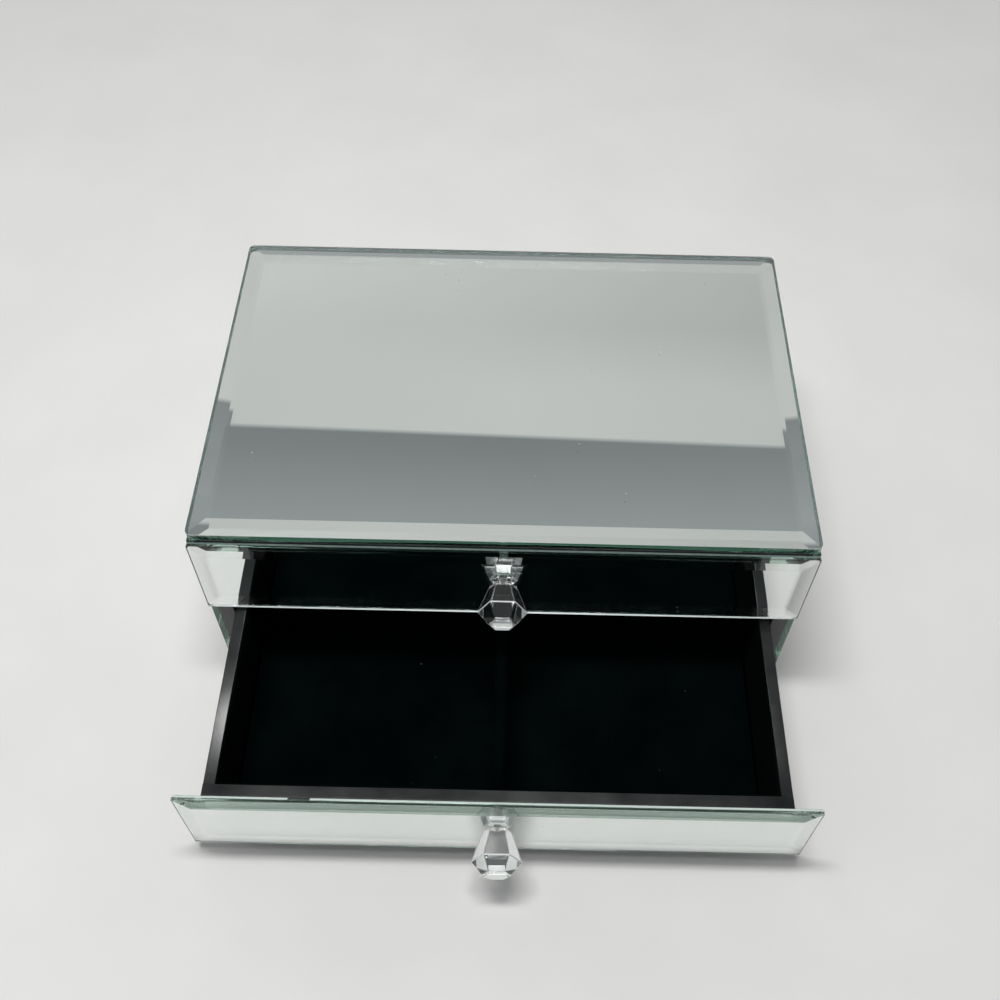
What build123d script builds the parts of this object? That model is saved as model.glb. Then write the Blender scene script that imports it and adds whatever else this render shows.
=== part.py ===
# Mirrored jewellery box with two drawers, each with a faceted crystal knob.
# Millimetres. X runs to the right, Y to the back and Z up. The origin is the middle of the
# felt under the base, so the box stands on Z = 0 and its drawers open towards -Y.
from build123d import *
import os

os.makedirs("parts", exist_ok=True)

# Overall plan
box_width = 240.0
case_depth = 161.0

# Boards of the case
felt_thickness = 1.0
felt_margin = 1.5
base_thickness = 9.0
side_board_thickness = 6.0
back_board_thickness = 3.0
top_board_thickness = 3.0
shelf_thickness = 4.0

# Plain mirrors on the sides and the back
side_mirror_thickness = 3.0
back_mirror_thickness = 3.0

# Bevelled top mirror
top_mirror_thickness = 5.0
top_bevel_drop = 1.0
top_bevel_width = 7.2
top_corner_radius = 2.6

# Bevelled drawer fronts
front_height = 44.2
front_thickness = 3.0
front_bevel_drop = 1.0
front_bevel_width = 6.4
front_corner_radius = 0.8
front_lap = 5.2
front_gap = 0.8
top_gap = 0.3
closed_gap = 0.2

# Drawer boxes
drawer_side_clearance = 1.8
drawer_run_gap = 0.3
drawer_top_clearance = 0.5
drawer_back_clearance = 5.0
lower_rim_drop = 0.2
wall_thickness = 4.6
panel_thickness = 3.0
wall_velvet = 0.7
floor_velvet = 0.8
divider_thickness = 5.0
divider_drop = 1.5
lower_pull_out = 81.5

# Knob: distance from the glass and hexagon circumradius, from its foot to its front table
foot_radius = 4.9
shoulder_distance = 0.6
shoulder_radius = 5.6
waist_distance = 2.4
waist_radius = 6.25
girdle_distance = 11.8
girdle_radius = 9.72
table_distance = 17.0
table_radius = 5.45

# Knob fastening
screw_radius = 1.5
screw_clearance = 0.1
screw_depth_in_knob = 1.0
screw_end_gap = 0.5
screw_head_radius = 2.9
screw_head_height = 1.8
screw_head_clearance = 0.3
screw_slot_width = 0.8
screw_slot_depth = 0.9

# Levels
base_top = felt_thickness + base_thickness
lower_front_bottom = base_top - front_lap
lower_front_top = lower_front_bottom + front_height
upper_front_bottom = lower_front_top + front_gap
upper_front_top = upper_front_bottom + front_height
case_top = upper_front_top + top_gap
top_board_underside = case_top - top_board_thickness
lower_rim = lower_front_top - lower_rim_drop
shelf_underside = lower_rim + drawer_top_clearance
shelf_top = shelf_underside + shelf_thickness
upper_rim = top_board_underside - drawer_top_clearance

# Places across and along the case
case_front = -case_depth / 2
case_back = case_depth / 2
mirror_inner_x = box_width / 2 - side_mirror_thickness
bay_half_width = mirror_inner_x - side_board_thickness
board_back = case_back - back_mirror_thickness
bay_back = board_back - back_board_thickness
front_plane = case_front - closed_gap
drawer_half_width = bay_half_width - drawer_side_clearance
drawer_back = bay_back - drawer_back_clearance


def save(piece, label):
    """Labels a finished piece and writes it as its own STEP file."""
    piece.label = label
    export_step(piece, f"parts/{label}.step")


def board(x0, x1, y0, y1, z0, z1):
    """Flat rectangular board between the given faces."""
    with BuildPart() as piece:
        with BuildSketch(Plane.XY.offset(z0)):
            with Locations(((x0 + x1) / 2, (y0 + y1) / 2)):
                Rectangle(x1 - x0, y1 - y0)
        extrude(amount=z1 - z0)
    return piece.part


def bevelled_plate(plane, width, height, thickness, bevel_width, bevel_drop, corner_radius):
    """Glass plate whose back lies on the plane, with a bevel all round its face."""
    outward = Axis((0, 0, 0), plane.z_dir)
    with BuildPart() as piece:
        with BuildSketch(plane):
            Rectangle(width, height)
        extrude(amount=thickness)
        face = piece.faces().sort_by(outward)[-1]
        chamfer(face.edges(), length=bevel_width, length2=bevel_drop, reference=face)
        fillet(piece.edges().filter_by(outward), corner_radius)
    return piece.part


def top_mirror():
    """Bevelled mirror that covers the whole top of the case."""
    return bevelled_plate(
        Plane.XY.offset(case_top),
        box_width,
        case_depth,
        top_mirror_thickness,
        top_bevel_width,
        top_bevel_drop,
        top_corner_radius,
    )


def drawer_mirror(front, bottom):
    """Bevelled mirror on a drawer, with the hole for the knob's screw in its middle."""
    middle = Plane(origin=(0, front, bottom + front_height / 2), x_dir=(1, 0, 0), z_dir=(0, -1, 0))
    plate = bevelled_plate(
        middle,
        box_width,
        front_height,
        front_thickness,
        front_bevel_width,
        front_bevel_drop,
        front_corner_radius,
    )
    with BuildPart() as piece:
        add(plate)
        with BuildSketch(middle):
            Circle(screw_radius + screw_clearance)
        extrude(amount=front_thickness, mode=Mode.SUBTRACT)
    return piece.part


def front_wall(front, low, high, screw_level):
    """Front wall of a drawer box, counterbored from the inside for the screw's head."""
    inside = Plane(origin=(0, front + wall_thickness, screw_level), x_dir=(-1, 0, 0), z_dir=(0, 1, 0))
    with BuildPart() as piece:
        add(board(-drawer_half_width, drawer_half_width, front, front + wall_thickness, low, high))
        with BuildSketch(inside):
            Circle(screw_head_radius + screw_head_clearance)
        extrude(amount=-screw_head_height - screw_head_clearance, mode=Mode.SUBTRACT)
        with BuildSketch(inside):
            Circle(screw_radius + screw_clearance)
        extrude(amount=-wall_thickness, mode=Mode.SUBTRACT)
    return piece.part


def wall_lining(front, back, low, high):
    """Four strips of velvet glued to the insides of the drawer's walls."""
    inner = drawer_half_width - wall_thickness
    inner_front = front + wall_thickness
    inner_back = back - wall_thickness
    strips = [
        board(-inner, inner, inner_front, inner_front + wall_velvet, low, high),
        board(-inner, inner, inner_back - wall_velvet, inner_back, low, high),
        board(-inner, -inner + wall_velvet, inner_front + wall_velvet, inner_back - wall_velvet, low, high),
        board(inner - wall_velvet, inner, inner_front + wall_velvet, inner_back - wall_velvet, low, high),
    ]
    return Compound(children=strips)


def knob(glass_plane):
    """Clear hexagonal knob with its corners to the left and right, and a blind screw hole."""
    sections = [
        (0.0, foot_radius),
        (shoulder_distance, shoulder_radius),
        (waist_distance, waist_radius),
        (girdle_distance, girdle_radius),
        (table_distance, table_radius),
    ]
    with BuildPart() as piece:
        for distance, radius in sections:
            with BuildSketch(glass_plane.offset(distance)):
                RegularPolygon(radius, 6)
        loft(ruled=True)
        with BuildSketch(glass_plane):
            Circle(screw_radius + screw_clearance)
        extrude(amount=screw_depth_in_knob + screw_end_gap, mode=Mode.SUBTRACT)
    return piece.part


def knob_screw(head_plane, length):
    """Slotted screw whose head bears on the plane and whose shank runs forward from it."""
    with BuildPart() as piece:
        with BuildSketch(head_plane):
            Circle(screw_radius)
        extrude(amount=length)
        with BuildSketch(head_plane):
            Circle(screw_head_radius)
        extrude(amount=-screw_head_height)
        with BuildSketch(head_plane.offset(-screw_head_height)):
            Rectangle(2 * screw_head_radius, screw_slot_width)
        extrude(amount=screw_slot_depth, mode=Mode.SUBTRACT)
    return piece.part


def drawer(name, front_bottom, box_bottom, box_top, pull_out):
    """One drawer with its mirror, box, velvet, divider and knob, pulled out by the given length."""
    front = front_plane - pull_out
    back = drawer_back - pull_out
    inner = drawer_half_width - wall_thickness
    inner_front = front + wall_thickness
    inner_back = back - wall_thickness
    panel_top = box_bottom + panel_thickness
    floor = panel_top + floor_velvet
    lined_front = inner_front + wall_velvet
    lined_back = inner_back - wall_velvet
    screw_level = front_bottom + front_height / 2

    save(drawer_mirror(front, front_bottom), f"{name}_drawer_mirror")
    save(front_wall(front, box_bottom, box_top, screw_level), f"{name}_drawer_front_wall")
    back_wall = board(-drawer_half_width, drawer_half_width, inner_back, back, box_bottom, box_top)
    save(back_wall, f"{name}_drawer_back_wall")
    left_wall = board(-drawer_half_width, -inner, inner_front, inner_back, box_bottom, box_top)
    save(left_wall, f"{name}_drawer_left_wall")
    right_wall = board(inner, drawer_half_width, inner_front, inner_back, box_bottom, box_top)
    save(right_wall, f"{name}_drawer_right_wall")
    panel = board(-inner, inner, inner_front, inner_back, box_bottom, panel_top)
    save(panel, f"{name}_drawer_bottom_panel")
    save(wall_lining(front, back, panel_top, box_top), f"{name}_drawer_wall_velvet")
    floor_inner = inner - wall_velvet
    floor_sheet = board(-floor_inner, floor_inner, lined_front, lined_back, panel_top, floor)
    save(floor_sheet, f"{name}_drawer_floor_velvet")
    half = divider_thickness / 2
    divider = board(-half, half, lined_front, lined_back, floor, box_top - divider_drop)
    save(divider, f"{name}_drawer_divider")

    glass_plane = Plane(
        origin=(0, front - front_thickness, screw_level),
        x_dir=(1, 0, 0),
        z_dir=(0, -1, 0),
    )
    save(knob(glass_plane), f"{name}_knob")
    seat_to_glass = wall_thickness - screw_head_height - screw_head_clearance + front_thickness
    head_plane = glass_plane.offset(-seat_to_glass)
    shank = seat_to_glass + screw_depth_in_knob
    save(knob_screw(head_plane, shank), f"{name}_knob_screw")


def case():
    """Boards, felt and mirrors that stay still."""
    half = box_width / 2
    save(top_mirror(), "top_mirror")
    left_mirror = board(-half, -mirror_inner_x, case_front, case_back, felt_thickness, case_top)
    save(left_mirror, "left_side_mirror")
    right_mirror = board(mirror_inner_x, half, case_front, case_back, felt_thickness, case_top)
    save(right_mirror, "right_side_mirror")
    back_mirror = board(-mirror_inner_x, mirror_inner_x, board_back, case_back, felt_thickness, case_top)
    save(back_mirror, "back_mirror")
    left_side = board(-mirror_inner_x, -bay_half_width, case_front, board_back, felt_thickness, case_top)
    save(left_side, "case_left_side")
    right_side = board(bay_half_width, mirror_inner_x, case_front, board_back, felt_thickness, case_top)
    save(right_side, "case_right_side")
    back_board = board(-bay_half_width, bay_half_width, bay_back, board_back, felt_thickness, case_top)
    save(back_board, "case_back")
    top_board = board(-bay_half_width, bay_half_width, case_front, bay_back, top_board_underside, case_top)
    save(top_board, "case_top")
    shelf = board(-bay_half_width, bay_half_width, case_front, bay_back, shelf_underside, shelf_top)
    save(shelf, "middle_shelf")
    base = board(-bay_half_width, bay_half_width, case_front, bay_back, felt_thickness, base_top)
    save(base, "case_base")
    felt = board(
        -half + felt_margin,
        half - felt_margin,
        case_front + felt_margin,
        case_back - felt_margin,
        0.0,
        felt_thickness,
    )
    save(felt, "base_felt")


case()
drawer("upper", upper_front_bottom, shelf_top + drawer_run_gap, upper_rim, 0.0)
drawer("lower", lower_front_bottom, base_top + drawer_run_gap, lower_rim, lower_pull_out)
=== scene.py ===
"""Mirrored jewellery box with two drawers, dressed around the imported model.

Metres. X runs to the right, Y to the back and Z up; the box stands on Z = 0.
"""
import math

import bmesh
import bpy
from mathutils import Matrix, Vector
from mathutils import noise as field


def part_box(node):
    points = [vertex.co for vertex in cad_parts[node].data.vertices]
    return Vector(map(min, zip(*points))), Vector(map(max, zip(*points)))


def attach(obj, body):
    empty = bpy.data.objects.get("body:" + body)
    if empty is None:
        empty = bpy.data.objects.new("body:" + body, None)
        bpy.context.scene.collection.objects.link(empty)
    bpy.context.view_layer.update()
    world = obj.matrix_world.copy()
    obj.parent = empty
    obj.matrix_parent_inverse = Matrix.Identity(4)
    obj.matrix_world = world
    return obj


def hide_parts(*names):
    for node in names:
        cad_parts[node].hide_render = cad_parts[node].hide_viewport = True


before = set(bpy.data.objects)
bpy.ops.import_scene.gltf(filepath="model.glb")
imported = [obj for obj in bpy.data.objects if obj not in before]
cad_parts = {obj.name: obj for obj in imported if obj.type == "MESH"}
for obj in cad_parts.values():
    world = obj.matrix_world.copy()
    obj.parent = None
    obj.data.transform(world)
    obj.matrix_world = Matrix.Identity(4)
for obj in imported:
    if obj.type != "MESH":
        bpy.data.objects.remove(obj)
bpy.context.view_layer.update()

MM = 0.001
X, Y, Z = Vector((1, 0, 0)), Vector((0, 1, 0)), Vector((0, 0, 1))
WHITE, BLACK = (1.0, 1.0, 1.0), (0.0, 0.0, 0.0)

# Glass plates, in millimetres. The seam is the ground edge at the back of a plate and the arris
# the fine one at its face. Along the foot the seam is at least seam_foot wide and the arris is
# foot_arris; along the upper edge the seam is seam_top high.
TOP_PLATE = {
    "bevel_width": 7.2, "bevel_drop": 1.0, "radius": 2.6, "arris": 0.1, "foot_arris": 0.1,
    "seam_width": 0.9, "seam_foot": 0.9, "seam_height": 0.45, "seam_top": 0.45,
}
UPPER_FRONT_PLATE = {
    "bevel_width": 6.4, "bevel_drop": 1.0, "radius": 0.8, "arris": 0.1, "foot_arris": 0.4,
    "seam_width": 0.12, "seam_foot": 0.12, "seam_height": 0.1, "seam_top": 0.9,
}
LOWER_FRONT_PLATE = {**UPPER_FRONT_PLATE, "seam_width": 0.4}
SIDE_PLATE = {
    "bevel_width": 0.0, "bevel_drop": 0.0, "radius": 0.5, "arris": 0.1, "foot_arris": 0.1,
    "seam_width": 0.4, "seam_foot": 0.4, "seam_height": 0.4, "seam_top": 0.4,
}

# Old chip in the back edge of the lower front: place along the edge in millimetres, and the share
# of its depth there
CHIP = [(-69.0, 0.0), (-69.9, 0.9), (-72.4, 1.0), (-75.9, 0.85), (-77.2, 0.0)]
CHIP_WIDTH, CHIP_HEIGHT = 1.3 * MM, 1.4 * MM

# Layers behind the glass, the screw holes in it, and the slots of a plate's materials
PAINT_THICKNESS = 0.06 * MM
SILVER_LEVEL = 0.08 * MM
HOLE_SIDES = 40
HOLE_RADIUS = 1.6 * MM
HOLE_FIELD = 8.0 * MM
GLASS, SILVER, GROUND, SEAM, PAINT = range(5)

# Rounded rectangles: the four corners in turn, the one that ends the top side, and the ones that
# begin a side along X
QUARTERS = ((1, -1), (1, 1), (-1, 1), (-1, -1))
TOP_SIDE = 2
SIDES_ALONG_X = (1, 3)
CORNER_STEPS = 8
LEAST_RADIUS = 0.05 * MM

# Rounded edges with their steps and profile, how closely an edge follows the axis that it is
# parallel to, and how far cuts and drilled holes reach out of a piece
EDGE_STEPS, EDGE_PROFILE = 3, 0.5
PARALLEL = 0.9
CUT_EXCESS = 1.0 * MM

# Boards and felt
BOARD_EDGE_RADIUS = 0.35 * MM
FELT_EDGE_RADIUS = 0.3 * MM

# Velvet: the roll is its rounded edge, the shoulder a share of it, and waves are its faint
# unevenness
VELVET_ROLL = 0.35 * MM
ROLL_SHOULDER = 0.3
VELVET_CORNER_RADIUS = 1.4 * MM
ROLL_CORNER_RADIUS = 1.1 * MM
GLUED_EDGE = 0.1 * MM
VELVET_STEP = 4.0 * MM
STRAIGHT_LENGTH = 10.0 * MM
WALL_ROWS = 6
VELVET_WAVE = 0.06 * MM
DIVIDER_WAVE = 0.09 * MM
FLOOR_WAVE_LENGTH, WALL_WAVE_LENGTH, DIVIDER_WAVE_LENGTH = 22.0 * MM, 16.0 * MM, 14.0 * MM
DIVIDER_EDGE_RADIUS = 1.9 * MM
DIVIDER_EDGE_STEPS = 6

# Screws: the tip is narrower by a share, and the crown is drawn by shares of the head's radius
# and of the crown's height
SCREW_RADIUS, THREAD_PITCH, THREAD_DEPTH = 1.5 * MM, 0.5 * MM, 0.22 * MM
SCREW_SIDES, THREAD_STEPS = 24, 6
TIP_SHARE = 0.8
HEAD_RADIUS, HEAD_HEIGHT, HEAD_CROWN = 2.9 * MM, 1.8 * MM, 0.5 * MM
HEAD_EDGE = 0.1 * MM
CROWN_SHARES = [(0.88, 0.55), (0.6, 0.88), (0.25, 1.0)]
SLOT_WIDTH, SLOT_DEPTH = 0.8 * MM, 0.9 * MM
HEAD_RECESS_RADIUS, HEAD_RECESS_DEPTH = 3.2 * MM, 2.1 * MM

# Knob: distance from the glass and circumradius of the hexagon there, in millimetres
GIRDLE_DISTANCE = 11.8
KNOB_SECTIONS = [(0.05, 4.9), (0.6, 5.6), (2.4, 6.25), (GIRDLE_DISTANCE, 9.72), (17.0, 5.45)]
KNOB_CORNERS = 6
KNOB_EDGE = 0.32 * MM
# How far the whitish band round the girdle reaches: a painted highlight on the knob's edges
GIRDLE_REACH = 0.45 * MM
KNOB_HOLE_RADIUS, KNOB_HOLE_DEPTH = 1.6 * MM, 1.5 * MM
# Material slots of a knob: clear crystal, and the whitish girdle band that is a painted highlight
CLEAR, PAINTED_HIGHLIGHT = range(2)

# Colours and densities of the glass, and the share of the specks that are at their whitest
PLATE_TINT, PLATE_DENSITY = (0.91, 0.955, 0.937), 100.0
CRYSTAL_TINT, CRYSTAL_DENSITY = (0.97, 0.98, 0.98), 30.0
GLASS_IOR = 1.52
WHOLE_SPECKS = 0.6

# Camera, worked out from the edges of the box; its angles are in radians
IMAGE_SIZE = 1000.0
FOCAL_PIXELS = 1132.2
PRINCIPAL_X = 513.4
SENSOR_WIDTH = 36.0
CAMERA_PLACE = (0.0028, -0.3180, 0.4499)
CAMERA_PITCH, CAMERA_YAW, CAMERA_ROLL = 0.9394, 0.0017, 0.0238
NEAREST, FARTHEST = 0.01, 20.0

# Light round the box by direction, in degrees from the horizon behind it over the zenith to the
# horizon in front, with the levels to the left, in the middle and to the right: first the wall
# behind up to its upper border, then the ceiling and the room in front
WALL_LIGHT = [
    (0.0, (0.98, 0.84, 0.58)),
    (20.0, (0.98, 0.80, 0.49)),
    (40.0, (0.84, 0.58, 0.31)),
    (45.0, (0.68, 0.53, 0.28)),
    (48.0, (0.52, 0.58, 0.46)),
    (52.0, (0.50, 0.58, 0.48)),
]
ROOM_LIGHT = [
    (48.0, (0.24, 0.21, 0.25)),
    (51.0, (0.24, 0.22, 0.25)),
    (56.0, (0.34, 0.34, 0.34)),
    (60.0, (0.30, 0.14, 0.12)),
    (80.0, (0.34, 0.18, 0.08)),
    (101.0, (0.30, 0.12, 0.02)),
    (104.0, (0.28, 0.42, 0.05)),
    (111.0, (0.25, 0.42, 0.05)),
    (114.0, (0.22, 0.10, 0.03)),
    (118.3, (0.20, 0.10, 0.03)),
    (119.3, (0.20, 1.45, 0.10)),
    (122.7, (0.20, 1.45, 0.10)),
    (124.0, (0.18, 0.45, 0.03)),
    (133.0, (0.15, 0.40, 0.03)),
    (140.0, (0.15, 0.10, 0.03)),
    (160.0, (0.14, 0.35, 0.03)),
    (180.0, (0.13, 0.05, 0.03)),
]
HALF_TURN = 180.0
WALL_TOP, WALL_TOP_BLUR, WALL_TOP_LEAN = 50.6, 0.12, 1.05
LEFT_TO_RIGHT = [(0.175, (1, 0, 0)), (0.5, (0, 1, 0)), (0.825, (0, 0, 1))]
WALL_TINT, ROOM_TINT = (1.0, 0.998, 0.985, 1.0), (0.95, 1.0, 1.02, 1.0)

# Pale background as the camera sees it, the distances over which the floor fades into it, and
# where mirrors and glass show it over the horizon in front, by height and depth of the direction
BACKGROUND = (0.66, 0.66, 0.65, 1.0)
FLOOR_FADE = (0.36, 1.2)
HORIZON_FADE, FRONT_FADE = (0.50, 0.30), (-0.20, -0.50)
FLOOR_REACH = 4.0

# Long lamps overhead, all facing down: place, length along X, width and power
LAMPS = [
    ("key", (-0.10, -0.068, 1.30), (0.62, 0.10), 7.8),
    ("key_glow", (-0.14, -0.12, 1.32), (0.62, 0.34), 4.0),
]

# Bounces of light, enough for glass behind glass
ALL_BOUNCES, GLASS_BOUNCES = 32, 24


class Shading:
    """Makes and joins the nodes of one material or of the world."""

    # Sockets of a node that mixes two colours
    MIX_FIRST, MIX_SECOND, MIX_RESULT = 6, 7, 2

    def __init__(self, tree, kind, coordinates):
        """Empties the tree, and gives it an output and coordinates."""
        self.nodes, self.links = tree.nodes, tree.links
        self.nodes.clear()
        self.output = self.nodes.new("ShaderNodeOutput" + kind)
        self.place = self.nodes.new("ShaderNodeTexCoord").outputs[coordinates]

    def feed(self, socket, value):
        """Links a socket to an output, or gives it a value of its own."""
        if isinstance(value, bpy.types.NodeSocket):
            self.links.new(value, socket)
        else:
            socket.default_value = value

    def node(self, kind, **values):
        """A node with the given values or links at its inputs."""
        node = self.nodes.new("ShaderNode" + kind)
        for name, value in values.items():
            self.feed(node.inputs[name.replace("_", " ")], value)
        return node

    def noise(self, scale, detail=2.0):
        """Noise over the piece's own coordinates."""
        return self.node("TexNoise", Vector=self.place, Scale=scale, Detail=detail).outputs["Fac"]

    def ramp(self, value, stops):
        """A colour ramp with stops given as (position, colour)."""
        node = self.node("ValToRGB", Fac=value)
        elements = node.color_ramp.elements
        for index, (position, colour) in enumerate(stops):
            element = elements[index] if index < 2 else elements.new(position)
            element.position = position
            element.color = (*colour, 1.0)
        return node.outputs["Color"]

    def between(self, value, low, high, start=0.3, end=0.7):
        """A colour that wanders between two as a noise does."""
        return self.ramp(value, [(start, low), (end, high)])

    def fade(self, value, ends):
        """A smooth step from nought to one between two values."""
        step = self.node("MapRange", Value=value, From_Min=ends[0], From_Max=ends[1])
        step.interpolation_type = "SMOOTHSTEP"
        return step.outputs["Result"]

    def bump(self, height, strength, distance):
        """A bump normal from a height."""
        return self.node("Bump", Strength=strength, Distance=distance, Height=height).outputs["Normal"]

    def calculate(self, operation, first, second):
        """A sum over two outputs or values."""
        node = self.nodes.new("ShaderNodeMath")
        node.operation = operation
        self.feed(node.inputs[0], first)
        self.feed(node.inputs[1], second)
        return node.outputs["Value"]

    def measure(self, operation, *vectors):
        """The length of a vector, or the dot product of two."""
        node = self.nodes.new("ShaderNodeVectorMath")
        node.operation = operation
        for socket, vector in zip(node.inputs, vectors):
            self.feed(socket, vector)
        return node.outputs["Value"]

    def mix_colours(self, factor, first, second):
        """A mixture of two colours, each an output or a value."""
        node = self.nodes.new("ShaderNodeMix")
        node.data_type = "RGBA"
        self.feed(node.inputs["Factor"], factor)
        self.feed(node.inputs[self.MIX_FIRST], first)
        self.feed(node.inputs[self.MIX_SECOND], second)
        return node.outputs[self.MIX_RESULT]

    def specks(self, scale, size, share):
        """Rare round specks: white where they lie, black between them."""
        cells = self.node("TexVoronoi", Vector=self.place, Scale=scale)
        chance = self.node("SeparateColor", Color=cells.outputs["Color"]).outputs["Red"]
        near = self.ramp(cells.outputs["Distance"], [(size / 2, WHITE), (size, BLACK)])
        rare = self.ramp(chance, [(1.0 - share, BLACK), (1.0 - share * WHOLE_SPECKS, WHITE)])
        return self.calculate("MULTIPLY", near, rare)

    def seen_rays(self):
        """One for rays from the camera, and one for those that shiny pieces send on.

    Light that a matt surface has scattered counts as neither.
    """
        path = self.nodes.new("ShaderNodeLightPath").outputs
        shiny = self.calculate("MAXIMUM", path["Is Glossy Ray"], path["Is Transmission Ray"])
        straight = self.calculate("LESS_THAN", path["Diffuse Depth"], 0.5)
        return path["Is Camera Ray"], self.calculate("MULTIPLY", shiny, straight)

    def principled(self, **values):
        """A Principled shader with the given values or links."""
        return self.node("BsdfPrincipled", **values)

    def show(self, shader):
        """Gives the surface a shader."""
        self.links.new(shader.outputs[0], self.output.inputs["Surface"])

    def show_mixture(self, factor, first, second):
        """Gives the surface a mixture of two shaders."""
        mixture = self.node("MixShader", Fac=factor)
        self.links.new(first.outputs[0], mixture.inputs[1])
        self.links.new(second.outputs[0], mixture.inputs[2])
        self.show(mixture)

    def absorb(self, tint, density):
        """Absorption that deepens with the length of the way through the glass."""
        volume = self.node("VolumeAbsorption", Color=(*tint, 1.0), Density=density)
        self.links.new(volume.outputs["Volume"], self.output.inputs["Volume"])


def new_material(name):
    """An empty node material, and what makes its nodes."""
    material = bpy.data.materials.new(name)
    material.use_nodes = True
    return material, Shading(material.node_tree, "Material", "Object")


def dusty_glass(name, haze_scale, dust_scale, dust_share, tint, density):
    """Clear glass with a breath of haze on it and a few specks of dust."""
    material, shading = new_material(name)
    haze = shading.noise(scale=haze_scale, detail=3.0)
    clear = shading.principled(
        Base_Color=shading.between(haze, (0.986, 0.99, 0.988), WHITE),
        Roughness=0.0,
        IOR=GLASS_IOR,
        Transmission_Weight=1.0,
    )
    dust = shading.principled(Base_Color=(0.62, 0.62, 0.60, 1.0), Roughness=0.9)
    specks = shading.specks(scale=dust_scale, size=0.06, share=dust_share)
    shading.show_mixture(specks, clear, dust)
    shading.absorb(tint, density)
    return material


def plate_glass():
    """Clear float glass with its faint green."""
    return dusty_glass(
        "plate_glass",
        haze_scale=18.0,
        dust_scale=170.0,
        dust_share=0.10,
        tint=PLATE_TINT,
        density=PLATE_DENSITY,
    )


def crystal():
    """Clear crystal of the knobs."""
    return dusty_glass(
        "knob_crystal",
        haze_scale=120.0,
        dust_scale=420.0,
        dust_share=0.05,
        tint=CRYSTAL_TINT,
        density=CRYSTAL_DENSITY,
    )


def crystal_highlight_edge():
    """Whitish frosted band round a knob's girdle: a painted highlight on its edges."""
    material, shading = new_material("crystal_highlight_edge")
    # Roughness varies in patches over the painted highlight band
    patches = shading.noise(scale=500.0, detail=3.0)
    shader = shading.principled(
        Base_Color=(0.97, 0.985, 0.985, 1.0),
        Roughness=shading.between(patches, (0.30, 0.30, 0.30), (0.55, 0.55, 0.55)),
        IOR=GLASS_IOR,
        Transmission_Weight=0.35,
    )
    shading.show(shader)
    shading.absorb(CRYSTAL_TINT, CRYSTAL_DENSITY)
    return material


def ground_glass():
    """Ground edge of a plate: frosted, and pale where light catches it."""
    material, shading = new_material("ground_glass")
    grain = shading.noise(scale=2500.0)
    shader = shading.principled(
        Base_Color=shading.between(grain, (0.66, 0.80, 0.74), (0.86, 0.95, 0.91)),
        Roughness=0.5,
        IOR=GLASS_IOR,
        Transmission_Weight=0.25,
    )
    shading.show(shader)
    shading.absorb(PLATE_TINT, PLATE_DENSITY)
    return material


def painted_seam(name, low, high):
    """Ground edge of a plate, wetted by glue or by the paint behind it."""
    material, shading = new_material(name)
    grain = shading.noise(scale=700.0, detail=4.0)
    shading.show(shading.principled(Base_Color=shading.between(grain, low, high), Roughness=0.6))
    return material


def silver():
    """Silver behind the glass."""
    material, shading = new_material("mirror_silver")
    haze = shading.noise(scale=25.0, detail=3.0)
    colour = shading.between(haze, (0.965, 0.97, 0.965), (0.985, 0.99, 0.985))
    shading.show(shading.principled(Base_Color=colour, Metallic=1.0, Roughness=0.0))
    return material


def backing_paint():
    """Grey paint that protects the silver from behind."""
    material, shading = new_material("mirror_backing_paint")
    mottle = shading.noise(scale=180.0, detail=4.0)
    shader = shading.principled(
        Base_Color=shading.between(mottle, (0.075, 0.082, 0.082), (0.11, 0.118, 0.118)),
        Roughness=0.55,
        Normal=shading.bump(mottle, strength=0.25, distance=0.0002),
    )
    shading.show(shader)
    return material


def black_board():
    """Satin black paint on board, with a faint orange-peel skin."""
    material, shading = new_material("black_board")
    patches = shading.noise(scale=60.0, detail=5.0)
    skin = shading.noise(scale=900.0)
    shader = shading.principled(
        Base_Color=shading.between(patches, (0.007, 0.0077, 0.008), (0.013, 0.014, 0.0145)),
        Roughness=shading.between(patches, (0.19, 0.19, 0.19), (0.28, 0.28, 0.28)),
        Normal=shading.bump(skin, strength=0.12, distance=0.0001),
    )
    shading.show(shader)
    return material


def black_velvet():
    """Deep black velvet with a soft nap and a few specks of lint."""
    material, shading = new_material("black_velvet")
    nap = shading.noise(scale=3200.0)
    sweep = shading.noise(scale=28.0, detail=4.0)
    pile = shading.between(sweep, (0.0007, 0.0018, 0.0020), (0.0018, 0.0038, 0.0041), start=0.35)
    lint = shading.specks(scale=230.0, size=0.11, share=0.035)
    shader = shading.principled(
        Base_Color=shading.mix_colours(lint, pile, (0.05, 0.055, 0.055, 1.0)),
        Roughness=1.0,
        Specular_IOR_Level=0.0,
        Sheen_Weight=0.004,
        Sheen_Roughness=0.4,
        Normal=shading.bump(nap, strength=0.6, distance=0.0003),
    )
    shading.show(shader)
    return material


def black_felt():
    """Pressed black felt under the base."""
    material, shading = new_material("black_felt")
    fibres = shading.noise(scale=1400.0, detail=5.0)
    shader = shading.principled(
        Base_Color=shading.between(fibres, (0.006, 0.006, 0.007), (0.022, 0.022, 0.024)),
        Roughness=0.95,
        Sheen_Weight=0.15,
        Sheen_Roughness=0.5,
        Normal=shading.bump(fibres, strength=0.8, distance=0.0004),
    )
    shading.show(shader)
    return material


def screw_steel():
    """Zinc-plated steel with fine turning marks."""
    material, shading = new_material("screw_steel")
    marks = shading.noise(scale=1500.0, detail=3.0)
    colour = shading.between(marks, (0.45, 0.45, 0.44), (0.68, 0.68, 0.66))
    shading.show(shading.principled(Base_Color=colour, Metallic=1.0, Roughness=0.28))
    return material


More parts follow.
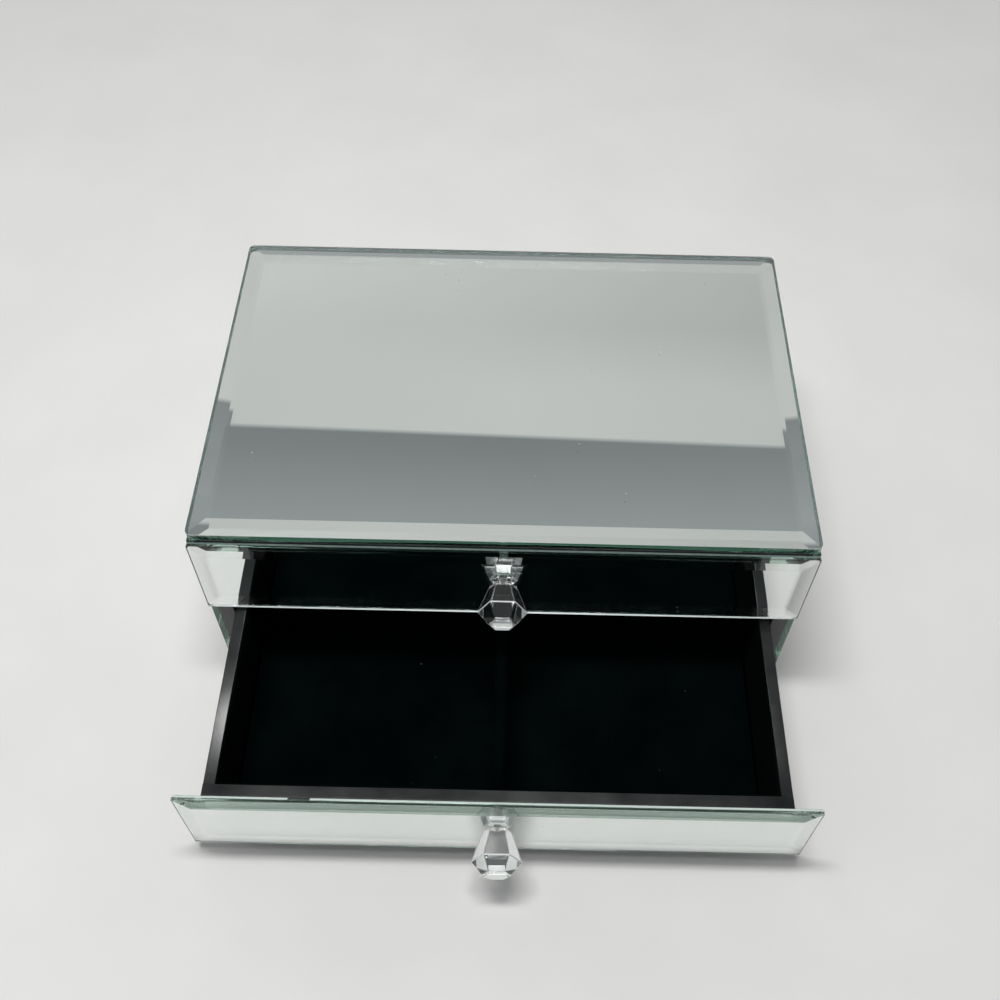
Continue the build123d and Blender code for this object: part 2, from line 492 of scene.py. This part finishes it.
def pale_floor():
    """Plain pale floor, lit near the box and evenly pale in the distance."""
    material, shading = new_material("pale_floor")
    mottle = shading.noise(scale=14.0, detail=6.0)
    lit = shading.principled(
        Base_Color=shading.between(mottle, (0.80, 0.79, 0.775), (0.84, 0.83, 0.815)),
        Roughness=0.7,
        Specular_IOR_Level=0.3,
        Normal=shading.bump(mottle, strength=0.1, distance=0.002),
    )
    pale = shading.node("Emission", Color=BACKGROUND)
    far = shading.fade(shading.measure("LENGTH", shading.place), FLOOR_FADE)
    seen = shading.calculate("MAXIMUM", *shading.seen_rays())
    shading.show_mixture(shading.calculate("MULTIPLY", far, seen), lit, pale)
    return material


MATERIALS = {
    "glass": plate_glass(),
    "ground": ground_glass(),
    "glued_seam": painted_seam("glued_seam", (0.22, 0.30, 0.29), (0.34, 0.44, 0.42)),
    "dark_seam": painted_seam("dark_seam", (0.09, 0.125, 0.12), (0.15, 0.20, 0.19)),
    "silver": silver(),
    "paint": backing_paint(),
    "board": black_board(),
    "velvet": black_velvet(),
    "felt": black_felt(),
    "crystal": crystal(),
    # Whitish band round the knobs' girdles, a painted highlight
    "crystal_highlight_edge": crystal_highlight_edge(),
    "screw": screw_steel(),
    "floor": pale_floor(),
}


def new_piece(name, work, materials, body, slot, *nodes):
    """Turns a bmesh into an object that rides on a body and stands for CAD nodes."""
    mesh = bpy.data.meshes.new(name)
    bmesh.ops.recalc_face_normals(work, faces=work.faces)
    work.to_mesh(mesh)
    work.free()
    for material in materials:
        mesh.materials.append(MATERIALS[material])
    piece = bpy.data.objects.new(name, mesh)
    bpy.context.scene.collection.objects.link(piece)
    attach(piece, body)
    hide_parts(*nodes)
    return piece


def smooth(piece):
    """Shades a piece smoothly, with its flat faces kept flat."""
    piece.data.shade_smooth()
    modifier = piece.modifiers.new("weights", "WEIGHTED_NORMAL")
    modifier.keep_sharp = True


def corners(node):
    """Lowest and highest corner of a CAD node."""
    low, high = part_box(node)
    return Vector(low), Vector(high)


def band(work, lower, upper, material=0):
    """Closes the strip between two rings with the same number of points."""
    for i in range(len(lower)):
        j = (i + 1) % len(lower)
        work.faces.new((lower[i], lower[j], upper[j], upper[i])).material_index = material


def closed_skin(work, rings):
    """Joins open rings one after another and closes both ends."""
    for lower, upper in zip(rings, rings[1:]):
        band(work, lower, upper)
    work.faces.new(rings[-1])
    work.faces.new(list(reversed(rings[0])))


def round_edges(work, edges, radius):
    """Rounds the given edges."""
    bmesh.ops.bevel(
        work,
        geom=edges,
        offset=radius,
        segments=EDGE_STEPS,
        profile=EDGE_PROFILE,
        affect="EDGES",
    )


def rounded_outline(half_u, half_v, radius, extra=()):
    """Points round a rectangle with rounded corners, anticlockwise, with extra ones on its top side."""
    points = []
    for corner, (side_u, side_v) in enumerate(QUARTERS):
        if corner == TOP_SIDE:
            points += [(u, half_v) for u in extra]
        for step in range(CORNER_STEPS + 1):
            angle = math.radians(90.0 * (corner - 1 + step / CORNER_STEPS))
            u = side_u * (half_u - radius) + radius * math.cos(angle)
            v = side_v * (half_v - radius) + radius * math.sin(angle)
            points.append((u, v))
    return points


class Plate:
    """The glass of one plate, drawn over its back: u runs along it, v up it and w out of its face."""

    def __init__(self, name, outward, along, sizes, chip):
        """Takes the plate's place and outer sizes from its CAD node."""
        low, high = corners(name)
        size = high - low
        self.work = bmesh.new()
        self.along, self.up, self.outward = along, outward.cross(along), outward
        self.half_u, self.half_v = abs(size.dot(along)) / 2, abs(size.dot(self.up)) / 2
        self.thickness = abs(size.dot(outward))
        self.middle = (low + high) / 2 - outward * self.thickness / 2
        self.sizes = {key: value * MM for key, value in sizes.items()}
        self.reach_u = self.half_u - self.sizes["bevel_width"]
        self.reach_v = self.half_v - self.sizes["bevel_width"]
        self.chipped = {u * MM: share for u, share in chip}

    def place(self, u, v, w):
        """A new point of the plate."""
        return self.work.verts.new(self.middle + self.along * u + self.up * v + self.outward * w)

    def fill(self, points, material):
        """A new face of the plate."""
        self.work.faces.new(points).material_index = material

    def face_level(self, u, v):
        """Height of the face above the back: flat in the middle and falling over the bevels."""
        bevel_width, bevel_drop = self.sizes["bevel_width"], self.sizes["bevel_drop"]
        if not bevel_width:
            return self.thickness
        past = max(abs(u) - self.reach_u, abs(v) - self.reach_v, 0.0)
        return self.thickness - bevel_drop * past / bevel_width

    def outline(self, inset, extra=()):
        """Points round the plate at a distance from its edge, with extra ones on its upper side."""
        radius = max(self.sizes["radius"] - inset, LEAST_RADIUS)
        return rounded_outline(self.half_u - inset, self.half_v - inset, radius, extra)

    def silver_ring(self):
        """Edge of the silver, where the ground seam begins."""
        seam_width, seam_foot = self.sizes["seam_width"], self.sizes["seam_foot"]
        ring = []
        for u, v in self.outline(seam_width, self.chipped):
            inward = (CHIP_WIDTH - seam_width) * self.chipped.get(u, 0.0)
            ring.append(self.place(u, max(v, seam_foot - self.half_v) - inward, SILVER_LEVEL))
        return ring

    def seam_ring(self):
        """Outer edge of the ground seam, where the clear edge begins."""
        seam_height, seam_top = self.sizes["seam_height"], self.sizes["seam_top"]
        ring = []
        for u, v in self.outline(0.0, self.chipped):
            upward = max(0.0, (v - self.half_v) / self.sizes["radius"] + 1.0)
            height = seam_height + (seam_top - seam_height) * upward
            height += (CHIP_HEIGHT - height) * self.chipped.get(u, 0.0)
            ring.append(self.place(u, v, SILVER_LEVEL + height))
        return ring

    def arris_ring(self):
        """Outer edge of the arris, where the clear edge ends."""
        arris, foot_arris = self.sizes["arris"], self.sizes["foot_arris"]
        ring = []
        for u, v in self.outline(0.0, self.chipped):
            downward = max(0.0, 1.0 - (v + self.half_v) / self.sizes["radius"])
            level = self.face_level(u, v) - arris - (foot_arris - arris) * downward
            ring.append(self.place(u, v, level))
        return ring

    def rim_ring(self):
        """Inner edge of the arris, where the face begins."""
        ring = []
        for u, v in self.outline(self.sizes["arris"], self.chipped):
            v = max(v, self.sizes["foot_arris"] - self.half_v)
            ring.append(self.place(u, v, self.face_level(u, v)))
        return ring

    def edges(self):
        """The seam, the clear edge and the arris. Returns the rings of the silver and of the face."""
        back, low_edge = self.silver_ring(), self.seam_ring()
        high_edge, rim = self.arris_ring(), self.rim_ring()
        band(self.work, back, low_edge, SEAM)
        shares = [self.chipped.get(u, 0.0) for u, v in self.outline(0.0, self.chipped)]
        for face, share, following in zip(list(self.work.faces), shares, shares[1:] + shares[:1]):
            if share or following:
                face.material_index = GLASS
        band(self.work, low_edge, high_edge, GLASS)
        band(self.work, high_edge, rim, GLASS)
        return back, rim

    def rectangle(self, reach_u, reach_v, level):
        """The four corners of a rectangle at one level."""
        return [self.place(side_u * reach_u, side_v * reach_v, level) for side_u, side_v in QUARTERS]

    def frame_face(self, ring, inner, material):
        """Four flat faces between a ring of points and the four corners inside it."""
        starts = []
        for corner in range(len(QUARTERS)):
            past_chip = len(self.chipped) if corner >= TOP_SIDE else 0
            starts.append(corner * (CORNER_STEPS + 1) + CORNER_STEPS // 2 + past_chip)
        for corner, start in enumerate(starts):
            following = (corner + 1) % len(starts)
            length = (starts[following] - start) % len(ring)
            side = [ring[(start + i) % len(ring)] for i in range(length + 1)]
            self.fill(side + [inner[following], inner[corner]], material)

    def pierced_square(self, inner, level, material):
        """Fills a square round the screw hole, and returns the hole's ring."""
        ring = []
        for i in range(HOLE_SIDES):
            angle = 2 * math.pi * i / HOLE_SIDES - math.pi / 4
            ring.append(self.place(HOLE_RADIUS * math.cos(angle), HOLE_RADIUS * math.sin(angle), level))
        quarter = HOLE_SIDES // len(inner)
        for corner in range(len(inner)):
            arc = [ring[(corner * quarter + i) % HOLE_SIDES] for i in range(quarter + 1)]
            self.fill(arc + [inner[(corner + 1) % len(inner)], inner[corner]], material)
        return ring

    def table(self, rim):
        """The bevels, where the plate has them. Returns the ring of the flat middle of the face."""
        if not self.sizes["bevel_width"]:
            return rim
        inner = self.rectangle(self.reach_u, self.reach_v, self.thickness)
        self.frame_face(rim, inner, GLASS)
        return inner

    def whole_faces(self, table, back):
        """Face and silver of a plate without a hole."""
        self.fill(table, GLASS)
        self.fill(list(reversed(back)), SILVER)

    def pierced_faces(self, table, back):
        """Face and silver of a plate that a screw goes through."""
        front_square = self.rectangle(HOLE_FIELD, HOLE_FIELD, self.thickness)
        band(self.work, table, front_square, GLASS)
        back_square = self.rectangle(HOLE_FIELD, HOLE_FIELD, SILVER_LEVEL)
        self.frame_face(back, back_square, SILVER)
        front_ring = self.pierced_square(front_square, self.thickness, GLASS)
        back_ring = self.pierced_square(back_square, SILVER_LEVEL, SILVER)
        band(self.work, back_ring, front_ring, GROUND)

    def paint(self):
        """The paint behind the silver."""
        points = self.outline(self.sizes["seam_width"])
        low = [self.place(u, v, 0.0) for u, v in points]
        high = [self.place(u, v, PAINT_THICKNESS) for u, v in points]
        band(self.work, low, high, PAINT)
        self.fill(high, PAINT)
        self.fill(list(reversed(low)), PAINT)


def glass_plate(name, body, outward, along, sizes, seam, pierced=False, chip=()):
    """A silvered glass plate in the place of its CAD node: bevels, clear edges and a ground seam."""
    plate = Plate(name, outward, along, sizes, chip)
    back, rim = plate.edges()
    table = plate.table(rim)
    if pierced:
        plate.pierced_faces(table, back)
    else:
        plate.whole_faces(table, back)
    plate.paint()
    materials = ("glass", "silver", "ground", seam, "paint")
    new_piece(name + "_plate", plate.work, materials, body, "mirror_glass", name)


def soft_box(name, node, body, slot, material, radius, along=None):
    """A board or pad in the place of its CAD node, with all edges rounded or only those along an axis."""
    low, high = corners(node)
    size = high - low
    work = bmesh.new()
    bmesh.ops.create_cube(work, size=1.0)
    for vertex in work.verts:
        vertex.co = Vector(vertex.co[i] * size[i] for i in range(3)) + (low + high) / 2
    edges = list(work.edges)
    if along is not None:
        runs = [(edge.verts[1].co - edge.verts[0].co).normalized() for edge in edges]
        edges = [edge for edge, run in zip(edges, runs) if abs(run.dot(along)) > PARALLEL]
    round_edges(work, edges, radius)
    return new_piece(name, work, (material,), body, slot, node)


def plain_board(node, body, along=None):
    """A painted board with eased edges."""
    return soft_box(node + "_board", node, body, "black_board", "board", BOARD_EDGE_RADIUS, along)


def felt_pad():
    """Felt glued under the base."""
    felt = soft_box("base_felt_pad", "base_felt", "case", "felt", "felt", FELT_EDGE_RADIUS)
    smooth(felt)


def cut(piece, cutter_work):
    """Cuts a closed shape out of a piece."""
    mesh = bpy.data.meshes.new("cutter")
    cutter_work.to_mesh(mesh)
    cutter_work.free()
    cutter = bpy.data.objects.new("cutter", mesh)
    bpy.context.scene.collection.objects.link(cutter)
    modifier = piece.modifiers.new("hole", "BOOLEAN")
    modifier.operation = "DIFFERENCE"
    modifier.object = cutter
    modifier.solver = "EXACT"
    bpy.context.view_layer.update()
    depsgraph = bpy.context.evaluated_depsgraph_get()
    result = bpy.data.meshes.new_from_object(piece.evaluated_get(depsgraph))
    piece.modifiers.clear()
    piece.data = result
    bpy.data.objects.remove(cutter)


def drill(piece, mouth, inward, radius, depth):
    """Cuts a round hole of the given depth into a piece."""
    work = bmesh.new()
    bmesh.ops.create_cone(
        work,
        cap_ends=True,
        segments=HOLE_SIDES,
        radius1=radius,
        radius2=radius,
        depth=depth + CUT_EXCESS,
    )
    turn = inward.to_track_quat("Z", "Y").to_matrix().to_4x4()
    middle = mouth + inward * (depth - CUT_EXCESS) / 2
    bmesh.ops.transform(work, matrix=Matrix.Translation(middle) @ turn, verts=work.verts)
    cut(piece, work)


def radial(angle):
    """Direction away from the axis of a knob or screw."""
    return X * math.cos(angle) + Z * math.sin(angle)


def crystal_knob(name, body):
    """Hexagonal crystal knob with softened facet edges and the blind hole of its screw."""
    low, high = corners(name)
    foot = Vector(((low.x + high.x) / 2, high.y, (low.z + high.z) / 2))
    work = bmesh.new()
    rings = []
    for distance, radius in KNOB_SECTIONS:
        ring = []
        for corner in range(KNOB_CORNERS):
            offset = radial(math.radians(360 * corner / KNOB_CORNERS))
            ring.append(work.verts.new(foot - Y * distance * MM + offset * radius * MM))
        rings.append(ring)
    closed_skin(work, rings)
    round_edges(work, list(work.edges), KNOB_EDGE)
    # Faces next to the girdle take the whitish band, a painted highlight on the knob's edges
    for face in work.faces:
        away = [abs(foot.y - vertex.co.y - GIRDLE_DISTANCE * MM) for vertex in face.verts]
        face.material_index = PAINTED_HIGHLIGHT if max(away) < GIRDLE_REACH else CLEAR
    knob = new_piece(name + "_crystal", work, ("crystal", "crystal_highlight_edge"), body, "crystal", name)
    drill(knob, foot, -Y, KNOB_HOLE_RADIUS, KNOB_HOLE_DEPTH)


def screw_ring(work, seat, y, radii):
    """Points round a screw at one distance behind its seat."""
    ring = []
    for i, radius in enumerate(radii):
        ring.append(work.verts.new(seat + Y * y + radial(2 * math.pi * i / SCREW_SIDES) * radius))
    return ring


def thread_rings(work, seat, shank):
    """Shank of a screw from its narrower tip up to its head, with the thread cut into it."""
    rings = []
    count = int(shank / THREAD_PITCH * THREAD_STEPS)
    for row in range(count + 1):
        y = -shank * (1 - row / count)
        lead_in = TIP_SHARE + (1.0 - TIP_SHARE) * min(1.0, row / THREAD_STEPS)
        turns = [y / THREAD_PITCH - i / SCREW_SIDES for i in range(SCREW_SIDES)]
        flanks = [abs(2 * (turn % 1.0) - 1) for turn in turns]
        radii = [(SCREW_RADIUS - THREAD_DEPTH * flank) * lead_in for flank in flanks]
        rings.append(screw_ring(work, seat, y, radii))
    return rings


def head_rings(work, seat):
    """Head of a screw with its crown."""
    side = HEAD_HEIGHT - HEAD_CROWN
    profile = [(HEAD_RADIUS - HEAD_EDGE, 0.0), (HEAD_RADIUS, HEAD_EDGE), (HEAD_RADIUS, side)]
    profile += [(HEAD_RADIUS * across, side + HEAD_CROWN * up) for across, up in CROWN_SHARES]
    return [screw_ring(work, seat, y, [radius] * SCREW_SIDES) for radius, y in profile]


def cut_slot(piece, seat):
    """Cuts the screwdriver's slot across a screw's head."""
    work = bmesh.new()
    bmesh.ops.create_cube(work, size=1.0)
    middle = seat + Y * (HEAD_HEIGHT - SLOT_DEPTH / 2 + CUT_EXCESS / 2)
    scale = Matrix.Diagonal((3 * HEAD_RADIUS, SLOT_DEPTH + CUT_EXCESS, SLOT_WIDTH, 1.0))
    bmesh.ops.transform(work, matrix=Matrix.Translation(middle) @ scale, verts=work.verts)
    cut(piece, work)


def screw(name, body):
    """Slotted screw with a crowned head and a cut thread."""
    low, high = corners(name)
    seat = Vector(((low.x + high.x) / 2, high.y - HEAD_HEIGHT, (low.z + high.z) / 2))
    work = bmesh.new()
    closed_skin(work, thread_rings(work, seat, seat.y - low.y) + head_rings(work, seat))
    piece = new_piece(name + "_threaded", work, ("screw",), body, "screw_steel", name)
    cut_slot(piece, seat)


def wave(place, length, height):
    """A gentle unevenness of a glued cloth."""
    return height * field.noise(place / length)


def velvet_piece(name, work, body, node):
    """A smooth piece of velvet in the place of its CAD node."""
    piece = new_piece(name, work, ("velvet",), body, "velvet", node)
    piece.data.shade_smooth()
    return piece


def velvet_stations(start, end):
    """Places across a sheet of velvet: even over its middle, and close over its rolled edges."""
    roll, shoulder = VELVET_ROLL, VELVET_ROLL * ROLL_SHOULDER
    count = round((end - start) / VELVET_STEP)
    inner = [start + roll + (end - start - 2 * roll) * i / count for i in range(count + 1)]
    return [start, start + shoulder] + inner + [end - shoulder, end]


def velvet_level(low, high, x, y):
    """Height of the floor's velvet at one place: faintly uneven, and rolled down at the edges."""
    roll = VELVET_ROLL
    near = min(x - low.x, high.x - x, y - low.y, high.y - y, roll)
    drop = roll - math.sqrt(max(roll * roll - (roll - near) ** 2, 0.0))
    uneven = wave(Vector((x, y, high.z)), FLOOR_WAVE_LENGTH, VELVET_WAVE)
    return high.z - drop - VELVET_WAVE / 2 + uneven


def floor_velvet(name, body):
    """Velvet glued to the drawer's floor: rolled edges and a faintly uneven face."""
    node = f"{name}_drawer_floor_velvet"
    low, high = corners(node)
    xs, ys = velvet_stations(low.x, high.x), velvet_stations(low.y, high.y)
    work = bmesh.new()
    grid = [[work.verts.new((x, y, velvet_level(low, high, x, y))) for y in ys] for x in xs]
    for i in range(len(xs) - 1):
        for j in range(len(ys) - 1):
            work.faces.new((grid[i][j], grid[i + 1][j], grid[i + 1][j + 1], grid[i][j + 1]))
    border = [row[0] for row in grid] + grid[-1][1:]
    border += [row[-1] for row in reversed(grid[:-1])] + grid[0][-2:0:-1]
    bottom = [work.verts.new((vertex.co.x, vertex.co.y, low.z)) for vertex in border]
    band(work, bottom, border)
    work.faces.new(list(reversed(bottom)))
    piece = velvet_piece(node + "_lining", work, body, node)


def velvet_loop(work, low, high, inset, level, radius, uneven=False):
    """Points round a drawer at one level, close together so that the cloth can be uneven."""
    size, centre = high - low, (low + high) / 2
    half_u, half_v = size.x / 2 - inset, size.y / 2 - inset
    points = rounded_outline(half_u, half_v, radius)
    ring = []
    for i, (u, v) in enumerate(points):
        next_u, next_v = points[(i + 1) % len(points)]
        side = size.x if i // (CORNER_STEPS + 1) in SIDES_ALONG_X else size.y
        straight = math.hypot(next_u - u, next_v - v) > STRAIGHT_LENGTH
        parts = round(side / VELVET_STEP) if straight else 1
        for part in range(parts):
            x, y = u + (next_u - u) * part / parts, v + (next_v - v) * part / parts
            out = wave(Vector((x, y, level)), WALL_WAVE_LENGTH, VELVET_WAVE) if uneven else 0.0
            spread = 1.0 + out / half_v
            ring.append(work.verts.new((centre.x + x * spread, centre.y + y * spread, level)))
    return ring


def wall_velvet(name, body):
    """One strip of velvet folded round the insides of the four walls, with a rolled upper edge."""
    node = f"{name}_drawer_wall_velvet"
    low, high = corners(node)
    floor_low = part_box(f"{name}_drawer_floor_velvet")[0]
    thick = floor_low[0] - low.x
    roll, shoulder = VELVET_ROLL, VELVET_ROLL * ROLL_SHOULDER
    levels = [low.z + (high.z - roll - low.z) * i / WALL_ROWS for i in range(WALL_ROWS + 1)]
    loops = [
        (0.0, low.z, GLUED_EDGE),
        (0.0, high.z - GLUED_EDGE, GLUED_EDGE),
        (GLUED_EDGE, high.z, 2 * GLUED_EDGE),
        (thick - roll, high.z, ROLL_CORNER_RADIUS),
        (thick - shoulder, high.z - shoulder, VELVET_CORNER_RADIUS),
    ]
    loops += [(thick, level, VELVET_CORNER_RADIUS, True) for level in reversed(levels)]
    work = bmesh.new()
    rings = [velvet_loop(work, low, high, *loop) for loop in loops]
    for lower, upper in zip(rings, rings[1:] + rings[:1]):
        band(work, lower, upper)
    piece = velvet_piece(node + "_lining", work, body, node)


def divider_profile(half, low, high):
    """Section of the divider, with its round upper edges, as places across it and levels."""
    radius = DIVIDER_EDGE_RADIUS
    profile = [(-half, low), (-half, (low + high) / 2)]
    for step in range(DIVIDER_EDGE_STEPS + 1):
        angle = math.radians(90 * step / DIVIDER_EDGE_STEPS)
        profile.append((-half + radius * (1 - math.cos(angle)), high - radius * (1 - math.sin(angle))))
    return profile + [(-x, z) for x, z in reversed(profile)]


def divider(name, body):
    """Velvet-covered divider with a rounded top and faintly uneven sides."""
    node = f"{name}_drawer_divider"
    low, high = corners(node)
    half, centre_x = (high.x - low.x) / 2, (low.x + high.x) / 2
    profile = divider_profile(half, low.z, high.z)
    work = bmesh.new()
    count = round((high.y - low.y) / VELVET_STEP)
    sections = []
    for i in range(count + 1):
        y = low.y + (high.y - low.y) * i / count
        section = []
        for x, z in profile:
            uneven = wave(Vector((x, y, z)), DIVIDER_WAVE_LENGTH, DIVIDER_WAVE) - DIVIDER_WAVE / 2
            squeeze = 1.0 + uneven / half
            section.append(work.verts.new((centre_x + x * squeeze, y, z)))
        sections.append(section)
    closed_skin(work, sections)
    velvet_piece(node + "_velvet", work, body, node)


def front_wall(name, body):
    """Front wall of a drawer box, counterbored from the inside for the screw's head."""
    node = f"{name}_drawer_front_wall"
    low, high = corners(node)
    screw_low, screw_high = corners(f"{name}_knob_screw")
    piece = plain_board(node, body, X)
    inside = Vector((0, high.y, (screw_low.z + screw_high.z) / 2))
    drill(piece, inside, -Y, HEAD_RECESS_RADIUS, HEAD_RECESS_DEPTH)
    drill(piece, inside, -Y, HOLE_RADIUS, high.y - low.y + CUT_EXCESS)


def case_pieces():
    """Everything that stays still."""
    glass_plate("top_mirror", "case", Z, X, TOP_PLATE, "glued_seam")
    glass_plate("left_side_mirror", "case", -X, -Y, SIDE_PLATE, "ground")
    glass_plate("right_side_mirror", "case", X, Y, SIDE_PLATE, "ground")
    glass_plate("back_mirror", "case", Y, -X, SIDE_PLATE, "ground")
    for node in ("case_left_side", "case_right_side", "case_back", "case_top", "middle_shelf", "case_base"):
        smooth(plain_board(node, "case"))
    felt_pad()


def drawer_pieces(name, plate, seam, chip=()):
    """Everything that slides with one drawer."""
    body = name + "_drawer"
    glass_plate(f"{name}_drawer_mirror", body, -Y, X, plate, seam, pierced=True, chip=chip)
    front_wall(name, body)
    for part, along in (("back_wall", X), ("left_wall", Y), ("right_wall", Y), ("bottom_panel", None)):
        smooth(plain_board(f"{name}_drawer_{part}", body, along))
    floor_velvet(name, body)
    wall_velvet(name, body)
    divider(name, body)
    crystal_knob(f"{name}_knob", body)
    screw(f"{name}_knob_screw", body)


def floor():
    """Plain pale floor under the box."""
    mesh = bpy.data.meshes.new("floor")
    points = [(side_x * FLOOR_REACH, side_y * FLOOR_REACH, 0.0) for side_x, side_y in QUARTERS]
    mesh.from_pydata(points, [], [(0, 1, 2, 3)])
    mesh.materials.append(MATERIALS["floor"])
    ground = bpy.data.objects.new("floor", mesh)
    bpy.context.scene.collection.objects.link(ground)


def room_light(shading, direction):
    """Light by direction: a pale wall behind the box, and a dim room over and in front of it."""
    half_turns = shading.calculate("ARCTAN2", direction["Z"], direction["Y"])
    half_turns = shading.calculate("DIVIDE", half_turns, math.pi)
    wall = shading.ramp(half_turns, [(degrees / HALF_TURN, levels) for degrees, levels in WALL_LIGHT])
    room = shading.ramp(half_turns, [(degrees / HALF_TURN, levels) for degrees, levels in ROOM_LIGHT])
    lean = shading.calculate("MULTIPLY", direction["X"], WALL_TOP_LEAN / HALF_TURN)
    over_wall = shading.node(
        "MapRange",
        Value=shading.calculate("SUBTRACT", half_turns, lean),
        From_Min=(WALL_TOP - WALL_TOP_BLUR) / HALF_TURN,
        From_Max=(WALL_TOP + WALL_TOP_BLUR) / HALF_TURN,
    ).outputs["Result"]
    levels = shading.mix_colours(over_wall, wall, room)
    sideways = shading.calculate("ADD", shading.calculate("MULTIPLY", direction["X"], 0.5), 0.5)
    return shading.node(
        "Background",
        Color=shading.mix_colours(over_wall, WALL_TINT, ROOM_TINT),
        Strength=shading.measure("DOT_PRODUCT", levels, shading.ramp(sideways, LEFT_TO_RIGHT)),
    )


def pale_share(shading, direction):
    """Where the pale background is seen: everywhere by the camera, and low in front by shiny pieces."""
    direct, shiny = shading.seen_rays()
    low = shading.fade(direction["Z"], HORIZON_FADE)
    front = shading.fade(direction["Y"], FRONT_FADE)
    mirrored = shading.calculate("MULTIPLY", shiny, shading.calculate("MULTIPLY", low, front))
    return shading.calculate("MAXIMUM", direct, mirrored)


def sky_light():
    """Soft room light round the box, with the pale background where it is seen."""
    world = bpy.data.worlds.new("studio")
    bpy.context.scene.world = world
    world.use_nodes = True
    shading = Shading(world.node_tree, "World", "Generated")
    direction = shading.node("SeparateXYZ", Vector=shading.place).outputs
    pale = shading.node("Background", Color=BACKGROUND)
    shading.show_mixture(pale_share(shading, direction), room_light(shading, direction), pale)


def lamps():
    """The lamps over the box."""
    for name, place, (length, width), power in LAMPS:
        data = bpy.data.lights.new(name, "AREA")
        data.shape = "RECTANGLE"
        data.size, data.size_y = length, width
        data.energy = power
        lamp = bpy.data.objects.new(name, data)
        lamp.location = place
        bpy.context.scene.collection.objects.link(lamp)


def camera():
    """The camera, looking down at the open lower drawer."""
    data = bpy.data.cameras.new("camera")
    data.sensor_width = SENSOR_WIDTH
    data.lens = SENSOR_WIDTH * FOCAL_PIXELS / IMAGE_SIZE
    data.shift_x = (IMAGE_SIZE / 2 - PRINCIPAL_X) / IMAGE_SIZE
    data.clip_start, data.clip_end = NEAREST, FARTHEST
    eye = bpy.data.objects.new("camera", data)
    turn = Matrix.Rotation(-CAMERA_YAW, 4, "Z") @ Matrix.Rotation(math.pi / 2 - CAMERA_PITCH, 4, "X")
    eye.matrix_world = Matrix.Translation(CAMERA_PLACE) @ turn @ Matrix.Rotation(CAMERA_ROLL, 4, "Z")
    bpy.context.scene.collection.objects.link(eye)
    bpy.context.scene.camera = eye


case_pieces()
drawer_pieces("upper", UPPER_FRONT_PLATE, "dark_seam")
drawer_pieces("lower", LOWER_FRONT_PLATE, "ground", CHIP)
floor()
sky_light()
lamps()
camera()

scene = bpy.context.scene
scene.view_settings.view_transform = "Standard"
scene.cycles.max_bounces = ALL_BOUNCES
scene.cycles.glossy_bounces = GLASS_BOUNCES
scene.cycles.transmission_bounces = GLASS_BOUNCES
